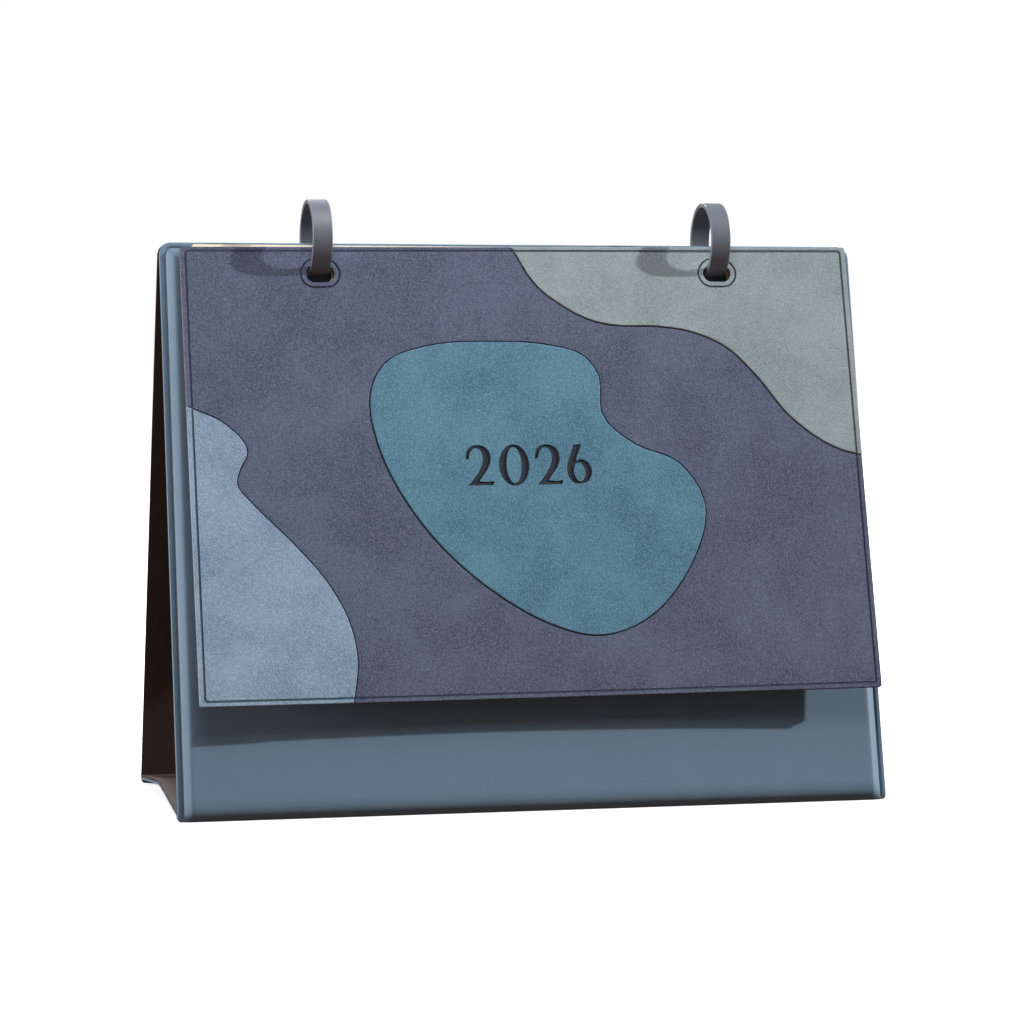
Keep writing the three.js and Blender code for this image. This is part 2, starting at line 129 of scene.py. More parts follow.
def plug(tree, socket, value):
    """Links a socket to another one, or sets it to a plain value."""
    if isinstance(value, bpy.types.NodeSocket):
        tree.links.new(value, socket)
    else:
        socket.default_value = value


def put(tree, kind, inputs=None, **settings):
    """Adds a node; an input is linked when it is given a socket, and set when it is given a value."""
    made = tree.nodes.new(kind)
    for name, value in settings.items():
        setattr(made, name, value)
    for name, value in (inputs or {}).items():
        plug(tree, made.inputs[name], value)
    return made


def calc(tree, operation, first, second=0.0):
    return put(tree, "ShaderNodeMath", {0: first, 1: second}, operation=operation).outputs[0]


def spread(tree, value, low, high, to_low=0.0, to_high=1.0):
    """Maps a value from one range onto another, smoothly and without passing its ends."""
    made = put(tree, "ShaderNodeMapRange", {"Value": value, "From Min": low, "From Max": high,
                                            "To Min": to_low, "To Max": to_high},
               interpolation_type="SMOOTHSTEP")
    return made.outputs["Result"]


def new_group(name, inputs, outputs):
    group = bpy.data.node_groups.new(name, "ShaderNodeTree")
    for label, value in inputs.items():
        socket = group.interface.new_socket(label, in_out="INPUT", socket_type="NodeSocketFloat")
        socket.default_value = value
    for label in outputs:
        group.interface.new_socket(label, in_out="OUTPUT", socket_type="NodeSocketFloat")
    return group, group.nodes.new("NodeGroupInput").outputs, group.nodes.new("NodeGroupOutput").inputs


def seeded_place(tree, seed, stretch=(1, 1, 1)):
    """The piece's own coordinates in metres, moved by a seed so that no two materials look alike."""
    place = put(tree, "ShaderNodeTexCoord").outputs["Object"]
    offset = put(tree, "ShaderNodeCombineXYZ", {"X": seed, "Y": seed, "Z": seed}).outputs[0]
    moved = put(tree, "ShaderNodeVectorMath", {0: place, 1: offset}, operation="ADD").outputs[0]
    return put(tree, "ShaderNodeVectorMath", {0: moved, 1: stretch}, operation="MULTIPLY").outputs[0]


def noise(tree, vector, size, detail=2.0, roughness=0.5, distortion=0.0):
    scale = calc(tree, "DIVIDE", 1.0, size)
    return put(tree, "ShaderNodeTexNoise", {"Vector": vector, "Scale": scale, "Detail": detail,
                                            "Roughness": roughness, "Distortion": distortion}).outputs[0]


def make_suede_group():
    """Brushed leatherette: cloudy patches, a fine speckled nap and faint wrinkles."""
    group, given, result = new_group("suede nap", {"Seed": 0.0, "Cloud Size": 0.03, "Nap Size": 0.0005},
                                     ("Cloud", "Nap", "Wrinkle", "Height"))
    place = seeded_place(group, given["Seed"])
    cloud = noise(group, place, given["Cloud Size"], 5.0, 0.6, 0.5)
    patchy = spread(group, cloud, 0.3, 0.7)
    nap = noise(group, place, given["Nap Size"], 1.0, 0.5)
    tuft = noise(group, place, calc(group, "MULTIPLY", given["Nap Size"], 2.7), 2.0, 0.6)
    speckle = spread(group, calc(group, "ADD", calc(group, "MULTIPLY", nap, 0.84),
                                 calc(group, "MULTIPLY", tuft, 0.16)), 0.33, 0.72)
    bend = noise(group, place, 0.006, 2.0)
    warped = put(group, "ShaderNodeVectorMath", {0: place, 1: put(
        group, "ShaderNodeCombineXYZ", {"X": calc(group, "MULTIPLY", bend, 0.004),
                                        "Z": calc(group, "MULTIPLY", cloud, 0.004)}).outputs[0]},
        operation="ADD").outputs[0]
    cells = put(group, "ShaderNodeTexVoronoi", {"Vector": warped, "Scale": 620.0},
                feature="DISTANCE_TO_EDGE").outputs["Distance"]
    lines = spread(group, cells, 0.0, 0.12, 1.0, 0.0)
    patches = spread(group, noise(group, place, 0.018, 3.0, 0.6), 0.48, 0.68)
    wrinkle = calc(group, "MULTIPLY", lines, patches)
    height = calc(group, "SUBTRACT", speckle, calc(group, "MULTIPLY", wrinkle, 0.8))
    for name, socket in {"Cloud": patchy, "Nap": speckle, "Wrinkle": wrinkle, "Height": height}.items():
        group.links.new(socket, result[name])
    return group


def make_grain_group():
    """Smooth leatherette: a close pebbled grain and a little unevenness of tone."""
    group, given, result = new_group("pebbled grain", {"Seed": 0.0, "Pebble Size": 0.0009},
                                     ("Tone", "Height"))
    place = seeded_place(group, given["Seed"])
    scale = calc(group, "DIVIDE", 1.0, given["Pebble Size"])
    pebble = put(group, "ShaderNodeTexVoronoi", {"Vector": place, "Scale": scale, "Smoothness": 0.6},
                 feature="SMOOTH_F1").outputs["Distance"]
    fine = noise(group, place, calc(group, "MULTIPLY", given["Pebble Size"], 0.6), 3.0, 0.6)
    height = calc(group, "ADD", calc(group, "MULTIPLY", pebble, -0.7), calc(group, "MULTIPLY", fine, 0.6))
    broad = noise(group, place, 0.04, 4.0, 0.6)
    tone = calc(group, "ADD", calc(group, "MULTIPLY", spread(group, broad, 0.3, 0.7), 0.6),
                calc(group, "MULTIPLY", spread(group, fine, 0.3, 0.7), 0.4))
    group.links.new(height, result["Height"])
    group.links.new(tone, result["Tone"])
    return group


def make_fibre_group():
    """Pulp: short fibres and flecks, for boards and sheets."""
    group, given, result = new_group("pulp fibre", {"Seed": 0.0, "Fibre Size": 0.0006}, ("Tone", "Height"))
    place = seeded_place(group, given["Seed"], (1, 1, 3))
    fine = noise(group, place, given["Fibre Size"], 4.0, 0.7)
    broad = noise(group, place, 0.012, 3.0, 0.6)
    tone = calc(group, "ADD", calc(group, "MULTIPLY", spread(group, fine, 0.25, 0.75), 0.6),
                calc(group, "MULTIPLY", spread(group, broad, 0.3, 0.7), 0.4))
    group.links.new(fine, result["Height"])
    group.links.new(tone, result["Tone"])
    return group


SUEDE = make_suede_group()
GRAIN = make_grain_group()
FIBRE = make_fibre_group()


def linear(hex_colour):
    """A colour written as RRGGBB, in the linear values that a shader takes."""
    values = [int(hex_colour[i:i + 2], 16) / 255 for i in (0, 2, 4)]
    return [v / 12.92 if v <= 0.04045 else ((v + 0.055) / 1.055) ** 2.4 for v in values] + [1.0]


def mix_colour(tree, factor, first, second):
    made = put(tree, "ShaderNodeMix", {0: factor, 6: first, 7: second}, data_type="RGBA")
    return made.outputs[2]


def new_material(name, roughness, **constants):
    material = bpy.data.materials.new(name)
    material.use_nodes = True
    tree = material.node_tree
    shader = next(n for n in tree.nodes if n.type == "BSDF_PRINCIPLED")
    shader.inputs["Roughness"].default_value = roughness
    for label, value in constants.items():
        shader.inputs[label.replace("_", " ")].default_value = value
    return material, tree, shader


def use_group(tree, group, **values):
    made = tree.nodes.new("ShaderNodeGroup")
    made.node_tree = group
    for label, value in values.items():
        made.inputs[label.replace("_", " ")].default_value = value
    return made.outputs


def bump(tree, shader, height, strength, distance):
    made = put(tree, "ShaderNodeBump", {"Height": height, "Strength": strength, "Distance": distance})
    tree.links.new(made.outputs["Normal"], shader.inputs["Normal"])


def pressed_shade_mask(tree):
    """How deep a point lies in a pressed line, 0 on the surface and 1 at the bottom: the mask of painted
    shade there.
    """
    return put(tree, "ShaderNodeAttribute", attribute_name="pressed").outputs["Fac"]


def suede_material(name, dark, middle, light, pressed, seed):
    material, tree, shader = new_material(name, 0.82, Sheen_Weight=0.12, Sheen_Roughness=0.45,
                                          Specular_IOR_Level=0.28)
    made = use_group(tree, SUEDE, Seed=seed, Cloud_Size=0.026, Nap_Size=0.00056)
    body = mix_colour(tree, made["Cloud"], linear(dark), linear(middle))
    flecked = mix_colour(tree, calc(tree, "MULTIPLY", made["Nap"], 0.5), body, linear(light))
    # Painted shade along the wrinkle lines: the colour darkens towards the dark tone.
    wrinkle_shaded = mix_colour(tree, calc(tree, "MULTIPLY", made["Wrinkle"], 0.35), flecked, linear(dark))
    # Painted shade: the bottoms of pressed lines are darkened towards the pressed colour.
    colour = mix_colour(tree, calc(tree, "MULTIPLY", pressed_shade_mask(tree), 0.85), wrinkle_shaded, linear(pressed))
    tree.links.new(colour, shader.inputs["Base Color"])
    rough = spread(tree, made["Nap"], 0.0, 1.0, 0.88, 0.76)
    tree.links.new(rough, shader.inputs["Roughness"])
    bump(tree, shader, made["Height"], 0.35, 0.00012)
    return material


def leatherette_material(name, dark, light, seed, roughness):
    material, tree, shader = new_material(name, roughness, Specular_IOR_Level=0.4)
    made = use_group(tree, GRAIN, Seed=seed, Pebble_Size=0.0009)
    tree.links.new(mix_colour(tree, made["Tone"], linear(dark), linear(light)), shader.inputs["Base Color"])
    tree.links.new(spread(tree, made["Tone"], 0.0, 1.0, roughness + 0.05, roughness - 0.05),
                   shader.inputs["Roughness"])
    bump(tree, shader, made["Height"], 0.25, 0.0001)
    return material


def fibre_material(name, dark, light, seed, size, strength=0.2):
    material, tree, shader = new_material(name, 0.9, Specular_IOR_Level=0.2)
    made = use_group(tree, FIBRE, Seed=seed, Fibre_Size=size)
    tree.links.new(mix_colour(tree, made["Tone"], linear(dark), linear(light)), shader.inputs["Base Color"])
    bump(tree, shader, made["Height"], strength, 0.00008)
    return material


def plastic_material(name, dark, light, seed):
    material, tree, shader = new_material(name, 0.42, Specular_IOR_Level=0.5)
    made = use_group(tree, GRAIN, Seed=seed, Pebble_Size=0.0005)
    tree.links.new(mix_colour(tree, made["Tone"], linear(dark), linear(light)), shader.inputs["Base Color"])
    tree.links.new(spread(tree, made["Tone"], 0.0, 1.0, 0.48, 0.38), shader.inputs["Roughness"])
    bump(tree, shader, made["Height"], 0.12, 0.00005)
    return material


# The fourth colour of each suede is painted shade for the bottoms of its pressed lines.
MATERIALS = {
    "case_leatherette": leatherette_material("blue-grey leatherette", "587188", "607a90", 1.3, 0.55),
    "lining_leatherette": leatherette_material("brown leatherette", "30221e", "3f302b", 2.1, 0.6),
    "greyboard": fibre_material("greyboard", "7d766c", "9a9389", 3.4, 0.0008),
    "ring_plastic": plastic_material("ring plastic", "565e6a", "646b77", 4.7),
    "slate_leatherette": suede_material("slate suede leatherette", "394258", "4c556d", "6e7a92",
                                        "32384b", 5.2),
    "backing_leatherette": leatherette_material("backing leatherette", "372a24", "41322b", 6.6, 0.65),
    "teal_leatherette": suede_material("teal suede leatherette", "375f77", "4b768d", "6f9bb0",
                                       "1c333f", 7.1),
    "pale_leatherette": suede_material("pale suede leatherette", "6f7e83", "87969b", "9facb2",
                                       "2c3840", 8.9),
    "blue_leatherette": suede_material("light blue suede leatherette", "617992", "7b93aa", "a1b7cb",
                                       "283b4c", 9.5),
    "page_paper": fibre_material("page paper", "e3d8c0", "efe6d3", 10.3, 0.0004, 0.1),
}
# Sheet edges: cream flecked with dark tan, the tan being painted shade on the cream paper.
SHADED_PAGE_EDGES = fibre_material("page edges with painted shade", "a9662f", "fff3da", 12.9, 0.0032, 0.3)
RAW_EDGES = fibre_material("cut leatherette edges", "8d7672", "c4aaa3", 14.2, 0.0009, 0.3)
INK = fibre_material("printing ink", "39434e", "4d5863", 15.8, 0.0005, 0.05)
# The numerals are dark in their own colour; their fourth colour is painted shade for the pressed lines.
STAMPED = suede_material("stamped numerals", "222b38", "2a3442", "3b4656", "141a22", 11.7)


# Mesh work

def mesh_of(node):
    """A copy of a CAD node's mesh with its corners welded and its flat faces joined up."""
    made = bmesh.new()
    made.from_mesh(frame["nodes"][node].data)
    bmesh.ops.remove_doubles(made, verts=made.verts, dist=2e-6)
    bmesh.ops.dissolve_limit(made, angle_limit=math.radians(1.5), verts=made.verts, edges=made.edges)
    return made


def round_edges(made, radius, segments, least=20, chosen=None):
    edges = [e for e in made.edges if e.is_manifold and e.calc_face_angle() > math.radians(least)
             and (chosen is None or chosen(e))]
    bmesh.ops.bevel(made, geom=edges, offset=radius, offset_type="OFFSET", segments=segments, profile=0.5,
                    affect="EDGES", clamp_overlap=True)


def slice_across(made, axis, places):
    """Cuts the faces along planes square to an axis, so that the piece can bend."""
    for place in places:
        origin, normal = Vector((0, 0, 0)), Vector((0, 0, 0))
        origin[axis], normal[axis] = place, 1
        bmesh.ops.bisect_plane(made, geom=made.verts[:] + made.edges[:] + made.faces[:], dist=1e-4,
                               plane_co=origin, plane_no=normal)


def finish_piece(made, name, body, slot, replaced, materials=None):
    """Turns the mesh work into a shown piece that rides on a body and takes its place."""
    mesh = bpy.data.meshes.new(name)
    for face in made.faces:
        face.smooth = True
    made.to_mesh(mesh)
    made.free()
    piece = show(name, mesh)
    for material in materials or [MATERIALS[slot]]:
        mesh.materials.append(material)
    mesh.set_sharp_from_angle(angle=math.radians(35))
    weighted = piece.modifiers.new("even normals", "WEIGHTED_NORMAL")
    weighted.keep_sharp = True
    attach(piece, body)
    if replaced:
        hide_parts(*replaced)


def paint_pressed_shade(made, depth_of):
    """Notes on each corner of the mesh how deep it lies in a pressed line, for the mask of painted shade."""
    layer = made.verts.layers.float.get("pressed") or made.verts.layers.float.new("pressed")
    for vertex in made.verts:
        vertex[layer] = max(0.0, min(1.0, depth_of(vertex.co)))


def oval(x, y, half_width, half_height):
    """A closed outline in a numeral's steps."""
    return [(x + half_width * math.sin(angle), y - half_height * math.cos(angle))
            for angle in np.linspace(0, 2 * math.pi, 24, False)]


# Numerals of the year, cut into the middle inlay. An outline is a list of points, y down, in steps of
# NUMERAL_STEP; a third value marks a corner. NUMERALS gives the place of each numeral's left and top.
TWO = [[(0, 86, 1), (2, 60), (13, 28), (35, 8), (73, 0), (111, 7), (140, 32), (152, 70), (147, 110),
        (128, 148), (98, 187), (77, 217, 1), (120, 222), (166, 218, 1), (160, 242, 1), (8, 243, 1), (43, 203),
        (75, 160), (96, 120), (104, 82), (98, 45), (83, 25), (61, 18), (38, 32), (24, 58), (20, 82, 1)]]
ZERO = [oval(92, 124.5, 92.5, 124.5), oval(92, 124.5, 45, 109.5)]
SIX = [[(47, 3, 1), (95, 0, 1), (80, 40), (63, 80), (58, 102, 1), (90, 92), (128, 108), (149, 142),
        (152, 172), (138, 210), (107, 234), (70, 241), (33, 230), (8, 200), (0, 160), (4, 122), (17, 82),
        (33, 42)],
       [(78, 113), (102, 135), (111, 168), (105, 202), (83, 226), (59, 215), (45, 185), (43, 150), (55, 122)]]
NUMERALS = [(TWO, -24.55, 90.0), (ZERO, -12.6, 90.1), (TWO, 0.55, 90.0), (SIX, 12.1, 89.95)]
NUMERAL_STEP = 1 / 16.8
NUMERAL_DEPTH = 0.4


def smooth_outline(points, steps=6):
    """A closed outline through the points, rounded except at the marked corners."""
    plain = [Vector((p[0], p[1])) for p in points]
    corner = [len(p) > 2 for p in points]
    count = len(plain)
    made = []
    for i in range(count):
        start, end = plain[i], plain[(i + 1) % count]
        before = start - (end - start) if corner[i] else plain[i - 1]
        after = end + (end - start) if corner[(i + 1) % count] else plain[(i + 2) % count]
        square = 2 * before - 5 * start + 4 * end - after
        cube = 3 * start - before - 3 * end + after
        for k in range(steps):
            t = k / steps
            made.append(0.5 * (2 * start + (end - before) * t + square * t * t + cube * t ** 3))
    return made


def stadium(x, y, length, height, steps=10):
    """An oblong outline with round ends."""
    reach, radius = (length - height) / 2, height / 2
    made = []
    for side, start in ((1, -math.pi / 2), (-1, math.pi / 2)):
        for k in range(steps + 1):
            angle = start + math.pi * k / steps
            made.append((x + side * reach + radius * math.cos(angle), y + radius * math.sin(angle)))
    return made


def shape_of(curve, shift):
    """The mesh work of a curve's filled shape, moved by the shift; the curve is used up."""
    holder = show(curve.name, curve)
    mesh = bpy.data.meshes.new_from_object(holder.evaluated_get(bpy.context.evaluated_depsgraph_get()))
    made = bmesh.new()
    made.from_mesh(mesh)
    bpy.data.objects.remove(holder)
    bpy.data.curves.remove(curve)
    bpy.data.meshes.remove(mesh)
    bmesh.ops.translate(made, verts=made.verts, vec=shift)
    return made


def prism(loops, low, high):
    """A closed prism over an outline with holes, through a filled curve."""
    curve = bpy.data.curves.new("outline", "CURVE")
    curve.dimensions = "2D"
    curve.fill_mode = "BOTH"
    curve.extrude = (high - low) / 2
    for loop in loops:
        line = curve.splines.new("POLY")
        line.points.add(len(loop) - 1)
        for point, place in zip(line.points, loop):
            point.co = (place[0], place[1], 0, 1)
        line.use_cyclic_u = True
    solid = shape_of(curve, (0, 0, (low + high) / 2))
    bmesh.ops.remove_doubles(solid, verts=solid.verts, dist=1e-4)
    return solid


def cut_away(made, tool, materials):
    """The mesh work less a cutting shape; what the cut leaves takes the cutter's material."""
    holders = []
    for work in (made, tool):
        mesh = bpy.data.meshes.new("cut")
        work.to_mesh(mesh)
        work.free()
        for material in materials:
            mesh.materials.append(material)
        holders.append(show("cut", mesh))
    for polygon in holders[1].data.polygons:
        polygon.material_index = 1
    step = holders[0].modifiers.new("cut", "BOOLEAN")
    step.operation = "DIFFERENCE"
    step.solver = "EXACT"
    step.object = holders[1]
    cut = holders[0].evaluated_get(bpy.context.evaluated_depsgraph_get())
    result = bmesh.new()
    result.from_mesh(bpy.data.meshes.new_from_object(cut))
    for holder in holders:
        bpy.data.objects.remove(holder)
    return result


def bow(point):
    """How far the cover leaf stands back from its plane: it hangs a little further open towards its foot
    and is bowed back towards the case between its sides."""
    across = 1 - min(1, abs(point.x) / COVER_HALF_WIDTH) ** 2
    down = 1 - max(0, min(1, point.y / COVER_HEIGHT))
    return LEAF_BOW * across * down ** 1.5 - LEAF_SWING * down


def draw_border_out(point):
    """Sets the line pressed round the leaf nearer to its rim, side by side, and what lies about it in
    proportion."""
    end = BORDER_KNOTS[-1]
    for axis, rim, sign, strip in BORDER_STRIPS:
        distance = (point[axis] - rim) * sign
        if 0 < distance < end:
            drawn = np.interp(distance, BORDER_KNOTS, (0, 0.45, strip, strip + BORDER_LINE, end))
            point[axis] = rim + sign * float(drawn)


def near_rim(point):
    """Whether a point lies in the strip that holds the line round the leaf."""
    across = COVER_HALF_WIDTH - abs(point.x)
    return min(across, point.y, COVER_HEIGHT - point.y) < BORDER_ZONE


def settle_holes(point):
    """Widens the line pressed round each ring hole and lets hole and line sag a little."""
    length, height, drop = COVER_HOLE
    reach = (length - height) / 2
    for side in (-1, 1):
        centre = Vector((side * HOLE_PITCH / 2, COVER_HEIGHT - drop))
        away = Vector((point.x, point.y)) - centre
        away.x -= max(-reach, min(reach, away.x))
        distance = away.length
        if HOLE_LINE[0] < distance - height / 2 < HOLE_LINE[1]:
            point.x += away.x / distance * HOLE_LINE_GAIN
            point.y += away.y / distance * HOLE_LINE_GAIN
        point.y -= HOLE_SAG * max(0.0, min(1.0, (SAG_REACH - distance) / 2))


def leaf_piece(node, slot, level, numerals=False):
    """One layer of the cover leaf, with rounded edges, painted shade in its pressed lines and the leaf's
    slight bow.
    """
    made = mesh_of(node)
    bmesh.ops.transform(made, matrix=LEAF.inverted(), verts=made.verts)
    materials = [MATERIALS[slot]]
    if numerals:
        materials.append(STAMPED)
        for outlines, left, top in NUMERALS:
            loops = [[(left + p.x * NUMERAL_STEP, top - p.y * NUMERAL_STEP) for p in smooth_outline(points)]
                     for points in outlines]
            made = cut_away(made, prism(loops, level - NUMERAL_DEPTH, level + 1), materials)
        bmesh.ops.dissolve_limit(made, angle_limit=math.radians(1.5), verts=made.verts, edges=made.edges,
                                 delimit={"MATERIAL"})
    round_edges(made, 0.12, 2, 40, lambda e: all(v.co.z > level - 0.3 for v in e.verts))
    bmesh.ops.remove_doubles(made, verts=made.verts, dist=0.01)
    slice_across(made, 0, range(-110, 111, 20))
    slice_across(made, 1, range(10, 160, 20))
    if level > BACKING_LEVEL:
        # Painted shade: the bottoms of the pressed lines are marked for darkening.
        paint_pressed_shade(made, lambda co: 1 - abs(level - LINE_DEPTH - co.z) / 0.1)
        for vertex in made.verts:
            draw_border_out(vertex.co)
            if near_rim(vertex.co) and level - 0.5 < vertex.co.z < level - BORDER_DEPTH:
                vertex.co.z = level - BORDER_DEPTH
    for vertex in made.verts:
        settle_holes(vertex.co)
    if node == "cover_face":
        materials.append(RAW_EDGES)
        for face in made.faces:
            if abs(face.normal.x) > 0.9 and abs(face.calc_center_median().x) > COVER_HALF_WIDTH - 0.3:
                face.material_index = 1
    for vertex in made.verts:
        vertex.co.z -= bow(vertex.co)
    bmesh.ops.transform(made, matrix=LEAF, verts=made.verts)
    name = node.replace("cover_", "leaf_") + "_leatherette"
    finish_piece(made, name, "cover", slot, [node], materials)


leaf_piece("cover_face", "slate_leatherette", 0.0)
leaf_piece("cover_backing", "backing_leatherette", BACKING_LEVEL)
leaf_piece("centre_inlay", "teal_leatherette", INLAY_STAND, numerals=True)
leaf_piece("upper_inlay", "pale_leatherette", INLAY_STAND)
leaf_piece("lower_inlay", "blue_leatherette", INLAY_STAND)


# Case skin and rings: the front half lies in the Y-Z plane, and the rear half is the same turned round

FOLD = Vector((-47.597, 2.6))
CREASE = Vector((0, 7.3))
SLOPE = Vector((math.sin(PANEL_LEAN), math.cos(PANEL_LEAN)))
OUT = Vector((-SLOPE.y, SLOPE.x))
BASE = (CREASE - FOLD).normalized()
UNDER = Vector((BASE.y, -BASE.x))
PANEL_REACH = 200.913
BASE_REACH = (CREASE - FOLD).length
CASE_HALF_WIDTH = 127.5
CASE_CORNER = 4.5
FOLD_END = 1.6
FOLD_START, FOLD_STOP = 0.3, 3.2
CREASE_RAMP, CREASE_FLAT = 4.2, 1.5
INNER, FLANGE, FIELD = 0.3, 1.1, 3.0
EDGE_STEPS = (0, 0.04, 0.12, 0.25, 0.45, 0.8, 1.1, 1.3, 1.45, 1.6, 1.75, 1.9, 2.05, 2.2, 2.4, 2.7, 3.1, 3.5,
              3.9, 4.2, 4.5, 4.75, 5.0, 5.3, 5.7, 6.3, 7.2)


def edge_profile(distance):
    """Height of the skin over the flange, as a share of the field's, at a distance from the rim: a rounded
    rim, the flat flange, the pressed groove and the bevel that runs softly into the field."""
    rise = FIELD - FLANGE
    bevel_start, bevel_slope, soft = 2.3, 0.72, 0.2
    groove_place, groove_depth, groove_reach = 1.95, 0.42, 0.34
    rim_radius = 0.35
    ramp = max(0.0, (distance - bevel_start) * bevel_slope)
    level = -soft * math.log(math.exp(-ramp / soft) + math.exp(-rise / soft))
    level -= groove_depth * math.exp(-((distance - groove_place) / groove_reach) ** 2)
    if distance < rim_radius:
        level -= rim_radius * (1 - math.sqrt(1 - (1 - distance / rim_radius) ** 2))
    return level / rise


def sampled(corners, cuts, shares, steps=8):
    """Points along a bent line, each bend rounded over its cut; shares place them on the straight parts."""
    most = 0.45
    made = [corners[0]]
    for i in range(1, len(corners)):
        back = corners[i - 1] - corners[i]
        stop = corners[i] + back.normalized() * min(cuts[i], most * back.length)
        start = made[-1]
        made += [start.lerp(stop, share) for share in shares[i - 1]] + [stop]
        if i < len(corners) - 1:
            on = corners[i + 1] - corners[i]
            leave = corners[i] + on.normalized() * min(cuts[i], most * on.length)
            for k in range(1, steps + 1):
                t = k / steps
                made.append(stop.lerp(corners[i], t).lerp(corners[i].lerp(leave, t), t))
    return made


def case_section():
    """The front half of the case in the Y-Z plane, from its top edge down round the fold to the crease:
    the inside of the skin, its outside at the flange and its outside on the field."""
    def on_panel(along, level):
        return FOLD + SLOPE * along + OUT * level

    def on_base(along, level):
        return FOLD + BASE * along + UNDER * level

    def line(level, round_the_fold, past_fold, at_crease):
        return [on_panel(PANEL_REACH, level), on_panel(FOLD_START, level), *round_the_fold,
                on_base(FOLD_STOP, past_fold), on_base(BASE_REACH - CREASE_RAMP, level),
                on_base(BASE_REACH - CREASE_FLAT, at_crease), CREASE - Vector((0, at_crease))]

    inner = line(INNER, (FOLD + Vector((-0.26, -0.2)), FOLD + Vector((0.03, -0.3))), INNER, INNER)
    flange = line(FLANGE, (Vector((-48.5, 0.15)), Vector((-46.9, 0.12))), FLANGE, FLANGE)
    field = line(FIELD, (Vector((-48.35, 0.0)), Vector((-46.6, 0.0))), FIELD - 0.1, FLANGE)
    cuts = [0, 0.9, 0.5, 0.4, 0.5, 0.8, 0.5, 0]
    soft_cuts = [0, 4.2] + cuts[2:]
    near_top = [step / (PANEL_REACH - FOLD_START) for step in EDGE_STEPS[1:]]
    middle = [0.5]
    shares = [near_top + [k / 12 for k in range(1, 12)] + [0.98], middle, middle, middle, [0.25, 0.5, 0.75],
              middle, middle]
    lines = ((inner, cuts), (flange, soft_cuts), (field, soft_cuts))
    return [sampled(corners, rounding, shares) for corners, rounding in lines]


def case_half():
    """The front half of the skin, open along the crease: its outside and inside, joined round the rim."""
    inner, flange, field = case_section()
    middle = [k / 8 for k in range(1, 8)]
    made = bmesh.new()
    rows = []
    for low, mid, high in zip(inner, flange, field):
        from_top = max(0.0, PANEL_REACH - (mid - FOLD).dot(SLOPE))
        corner = max(0.0, CASE_CORNER - from_top)
        half = CASE_HALF_WIDTH - (CASE_CORNER - math.sqrt(CASE_CORNER ** 2 - corner ** 2))
        inset = half - EDGE_STEPS[-1]
        across = [step - half for step in EDGE_STEPS] + [inset * (2 * t - 1) for t in middle]
        across += [half - step for step in reversed(EDGE_STEPS)]
        row = []
        for x in across:
            from_side = CASE_HALF_WIDTH - abs(x)
            distance = min(from_side, from_top)
            if from_side < CASE_CORNER and from_top < CASE_CORNER:
                distance = CASE_CORNER - math.hypot(CASE_CORNER - from_side, CASE_CORNER - from_top)
            place = mid + (high - mid) * edge_profile(max(0.0, distance))
            lift = FOLD_END - math.sqrt(FOLD_END ** 2 - max(0.0, FOLD_END - from_side) ** 2)
            row.append((made.verts.new((x, place.x, max(place.y, lift))),
                        made.verts.new((x, low.x, max(low.y, lift + 0.5)))))
        rows.append(row)
    for first, second in zip(rows, rows[1:]):
        for (a, e), (b, f), (c, g), (d, h) in zip(first, first[1:], second[1:], second):
            made.faces.new((a, d, c, b))
            made.faces.new((e, f, g, h))
        for k, flip in ((0, False), (-1, True)):
            quad = [first[k][0], first[k][1], second[k][1], second[k][0]]
            made.faces.new(quad[::-1] if flip else quad)
    for (a, e), (b, f) in zip(rows[0], rows[0][1:]):
        made.faces.new((a, b, f, e))
    return made


def half_turn(made):
    """Turns mesh work round from the front half of the case to the rear half."""
    bmesh.ops.rotate(made, verts=made.verts, matrix=Matrix.Rotation(math.pi, 3, "Z"))
    return made


def add_mesh(whole, part):
    """Joins a part's mesh work to the whole's; the part is used up."""
    mesh = bpy.data.meshes.new("part")
    part.to_mesh(mesh)
    part.free()
    whole.from_mesh(mesh)
    bpy.data.meshes.remove(mesh)
    return whole


def on_front_panel(made):
    """Moves a drawing on the plane of the front panel, y up from the fold, to its place."""
    turn = Matrix(((1, 0, 0), (0, SLOPE.x, OUT.x), (0, SLOPE.y, OUT.y))).to_4x4()
    bmesh.ops.transform(made, matrix=Matrix.Translation((0, FOLD.x, FOLD.y)) @ turn, verts=made.verts)
    return made


def case_skin():
    """One sheet of leatherette pressed over the boards, folded under and creased along its base."""
    made = add_mesh(case_half(), half_turn(case_half()))
    bmesh.ops.remove_doubles(made, verts=made.verts, dist=1e-3)
    bmesh.ops.recalc_face_normals(made, faces=made.faces)
    length, height, drop = CASE_HOLE
    for place in (lambda tool: tool, half_turn):
        for side in (-1, 1):
            centre = (side * HOLE_PITCH / 2, PANEL_REACH - drop)
            rims = [stadium(*centre, length + past, height + past) for past in CASE_HOLE_LINE]
            groove = prism(rims, FIELD - LINE_DEPTH, FIELD + 1)
            made = cut_away(made, place(on_front_panel(groove)), [MATERIALS["case_leatherette"]] * 2)
            hole = prism([stadium(*centre, length, height)], -1, FIELD + 1)
            made = cut_away(made, place(on_front_panel(hole)), [MATERIALS["case_leatherette"]] * 2)
    bmesh.ops.transform(made, matrix=Matrix.Scale(MM, 4), verts=made.verts)
    finish_piece(made, "padded_case", "easel", "case_leatherette", ["case_skin"])


def ring(side):
    """A snap ring with softened edges; its mesh is in metres."""
    made = mesh_of(side + "_ring")
    round_edges(made, 0.0001, 2, 25)
    finish_piece(made, side + "_band", "easel", "ring_plastic", [side + "_ring"])


case_skin()
ring("left")
ring("right")


# Pages

